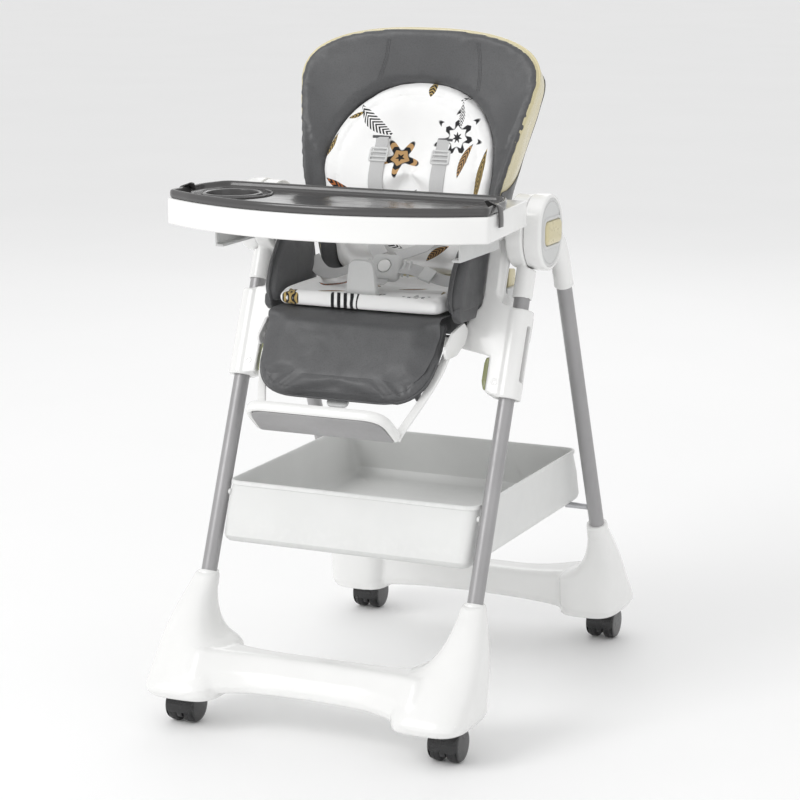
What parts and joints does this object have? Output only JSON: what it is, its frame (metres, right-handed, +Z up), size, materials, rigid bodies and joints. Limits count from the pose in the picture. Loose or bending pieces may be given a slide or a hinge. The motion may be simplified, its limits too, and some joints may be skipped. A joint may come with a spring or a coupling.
{
  "type": "baby high chair",
  "caption": "Folding high chair on casters with a sliding padded seat, reclining back, tilting leg rest, sliding footrest, removable tray with liner, harness and open storage basket.",
  "frame": {"origin": "on the floor, midway between the four casters", "axes": "+Z up, -Y towards the front where the tray is, +X to the right as seen from the front"},
  "size_m": [0.544, 0.82, 1.0708],
  "materials": {
    "white_plastic": "smooth glossy white moulding",
    "light_grey_plastic": "satin pale grey moulding",
    "leg_tube": "satin warm grey powder coat",
    "steel": "plain steel",
    "basket_plastic": "satin pale grey moulding",
    "cream_plastic": "soft gold-cream with a slight sheen",
    "olive_plastic": "yellow-green, slightly glossy",
    "dark_leather": "dark grey synthetic leather with a fine grain",
    "print_fabric": "white padded fabric with a loose pattern of striped leaves and stars",
    "strap_webbing": "pale grey woven webbing",
    "dark_plastic": "dark grey moulding with a fine texture",
    "liner_plastic": "glossy dark grey moulding",
    "caster_plastic": "black moulding",
    "wheel_rubber": "black tread"
  },
  "bodies": {
    "front_frame": {"front_base": "white_plastic", "front_leg_left": "leg_tube", "front_leg_right": "leg_tube", "hub_inner_left": "white_plastic", "hub_inner_right": "white_plastic", "hub_pins": "steel", "leg_screws": "steel", "basket": "basket_plastic", "basket_clips": "basket_plastic"},
    "rear_frame": {"rear_base": "white_plastic", "rear_leg_left": "leg_tube", "rear_leg_right": "leg_tube", "hub_outer_left": "white_plastic", "hub_outer_right": "white_plastic", "hub_faces": "light_grey_plastic", "basket_pegs": "steel"},
    "fold_button_left": {"fold_button_left": "cream_plastic"},
    "fold_button_right": {"fold_button_right": "cream_plastic"},
    "seat": {"carriage_left": "white_plastic", "carriage_right": "white_plastic", "seat_cross_tubes": "leg_tube", "seat_shell": "light_grey_plastic", "armrests": "white_plastic", "seat_cover": "dark_leather", "seat_insert": "print_fabric", "crotch_post": "light_grey_plastic", "harness_waist": "strap_webbing", "harness_crotch": "strap_webbing", "buckle_body": "light_grey_plastic", "legrest_mounts": "white_plastic"},
    "buckle_button": {"buckle_button": "white_plastic"},
    "height_paddle_left": {"height_paddle_left": "olive_plastic"},
    "height_paddle_right": {"height_paddle_right": "olive_plastic"},
    "backrest": {"backrest_shell": "cream_plastic", "back_cover": "dark_leather", "back_rear_cover": "dark_plastic", "back_insert": "print_fabric", "shoulder_straps": "strap_webbing", "strap_adjusters": "light_grey_plastic", "back_hinge_pins": "steel"},
    "recline_lever": {"recline_lever": "light_grey_plastic"},
    "legrest": {"calf_panel": "dark_plastic", "calf_pad": "dark_leather"},
    "legrest_lever": {"legrest_lever": "light_grey_plastic"},
    "footrest": {"footrest": "white_plastic"},
    "tray": {"tray_body": "white_plastic", "tray_skirt": "white_plastic", "tray_guides": "light_grey_plastic"},
    "tray_release": {"tray_release": "light_grey_plastic"},
    "tray_liner": {"tray_liner": "liner_plastic", "liner_rim": "liner_plastic", "liner_cup": "liner_plastic"},
    "caster_front_left": {"caster_front_left": "caster_plastic"},
    "caster_wheels_front_left": {"caster_wheels_front_left": "wheel_rubber"},
    "caster_front_right": {"caster_front_right": "caster_plastic"},
    "caster_wheels_front_right": {"caster_wheels_front_right": "wheel_rubber"},
    "caster_rear_left": {"caster_rear_left": "caster_plastic"},
    "caster_wheels_rear_left": {"caster_wheels_rear_left": "wheel_rubber"},
    "caster_rear_right": {"caster_rear_right": "caster_plastic"},
    "caster_wheels_rear_right": {"caster_wheels_rear_right": "wheel_rubber"}
  },
  "joints": [
    {"name": "frame_fold", "type": "hinge", "parent": "front_frame", "child": "rear_frame", "pos_m": [0, -0.02, 0.765], "axis": [-1, 0, 0], "range_deg": [0, 30]},
    {"name": "seat_height", "type": "slide", "parent": "front_frame", "child": "seat", "axis": [0, -0.3795, -0.9252], "range_m": [0, 0.1]},
    {"name": "backrest_recline", "type": "hinge", "parent": "seat", "child": "backrest", "pos_m": [0, 0.095, 0.64], "axis": [-1, 0, 0], "range_deg": [0, 45]},
    {"name": "legrest_tilt", "type": "hinge", "parent": "seat", "child": "legrest", "pos_m": [0, -0.155, 0.606], "axis": [-1, 0, 0], "range_deg": [-10, 45]},
    {"name": "footrest_slide", "type": "slide", "parent": "legrest", "child": "footrest", "axis": [0, -0.6691, -0.7431], "range_m": [0, 0.04]},
    {"name": "tray_slide", "type": "slide", "parent": "seat", "child": "tray", "axis": [0, -1, 0], "range_m": [0, 0.17]},
    {"name": "tray_liner_lift", "type": "slide", "parent": "tray", "child": "tray_liner", "axis": [0, 0, 1], "range_m": [0, 0.12]},
    {"name": "tray_release_squeeze", "type": "slide", "parent": "tray", "child": "tray_release", "axis": [0, 1, 0], "range_m": [0, 0.006], "stiffness_N_per_m": 400},
    {"name": "fold_button_left_press", "type": "slide", "parent": "rear_frame", "child": "fold_button_left", "axis": [1, 0, 0], "range_m": [0, 0.004], "stiffness_N_per_m": 600},
    {"name": "fold_button_right_press", "type": "slide", "parent": "rear_frame", "child": "fold_button_right", "axis": [-1, 0, 0], "range_m": [0, 0.004], "stiffness_N_per_m": 600},
    {"name": "height_paddle_left_squeeze", "type": "slide", "parent": "seat", "child": "height_paddle_left", "axis": [-1, 0, 0], "range_m": [0, 0.004], "stiffness_N_per_m": 500},
    {"name": "height_paddle_right_squeeze", "type": "slide", "parent": "seat", "child": "height_paddle_right", "axis": [1, 0, 0], "range_m": [0, 0.004], "stiffness_N_per_m": 500},
    {"name": "recline_lever_lift", "type": "slide", "parent": "backrest", "child": "recline_lever", "axis": [0, 0.1392, 0.9903], "range_m": [0, 0.008], "stiffness_N_per_m": 500},
    {"name": "legrest_lever_pull", "type": "slide", "parent": "legrest", "child": "legrest_lever", "axis": [0, 0.6691, 0.7431], "range_m": [0, 0.006], "stiffness_N_per_m": 400},
    {"name": "buckle_press", "type": "slide", "parent": "seat", "child": "buckle_button", "axis": [0, 0.8192, -0.5736], "range_m": [0, 0.002], "stiffness_N_per_m": 800},
    {"name": "caster_front_left_swivel", "type": "hinge", "parent": "front_frame", "child": "caster_front_left", "pos_m": [-0.225, -0.345, 0.056], "axis": [0, 0, 1], "continuous": true},
    {"name": "caster_front_left_roll", "type": "hinge", "parent": "caster_front_left", "child": "caster_wheels_front_left", "pos_m": [-0.225, -0.333, 0.025], "axis": [1, 0, 0], "continuous": true},
    {"name": "caster_front_right_swivel", "type": "hinge", "parent": "front_frame", "child": "caster_front_right", "pos_m": [0.225, -0.345, 0.056], "axis": [0, 0, 1], "continuous": true},
    {"name": "caster_front_right_roll", "type": "hinge", "parent": "caster_front_right", "child": "caster_wheels_front_right", "pos_m": [0.225, -0.333, 0.025], "axis": [1, 0, 0], "continuous": true},
    {"name": "caster_rear_left_swivel", "type": "hinge", "parent": "rear_frame", "child": "caster_rear_left", "pos_m": [-0.225, 0.345, 0.056], "axis": [0, 0, 1], "continuous": true},
    {"name": "caster_rear_left_roll", "type": "hinge", "parent": "caster_rear_left", "child": "caster_wheels_rear_left", "pos_m": [-0.225, 0.357, 0.025], "axis": [1, 0, 0], "continuous": true},
    {"name": "caster_rear_right_swivel", "type": "hinge", "parent": "rear_frame", "child": "caster_rear_right", "pos_m": [0.225, 0.345, 0.056], "axis": [0, 0, 1], "continuous": true},
    {"name": "caster_rear_right_roll", "type": "hinge", "parent": "caster_rear_right", "child": "caster_wheels_rear_right", "pos_m": [0.225, 0.357, 0.025], "axis": [1, 0, 0], "continuous": true}
  ]
}
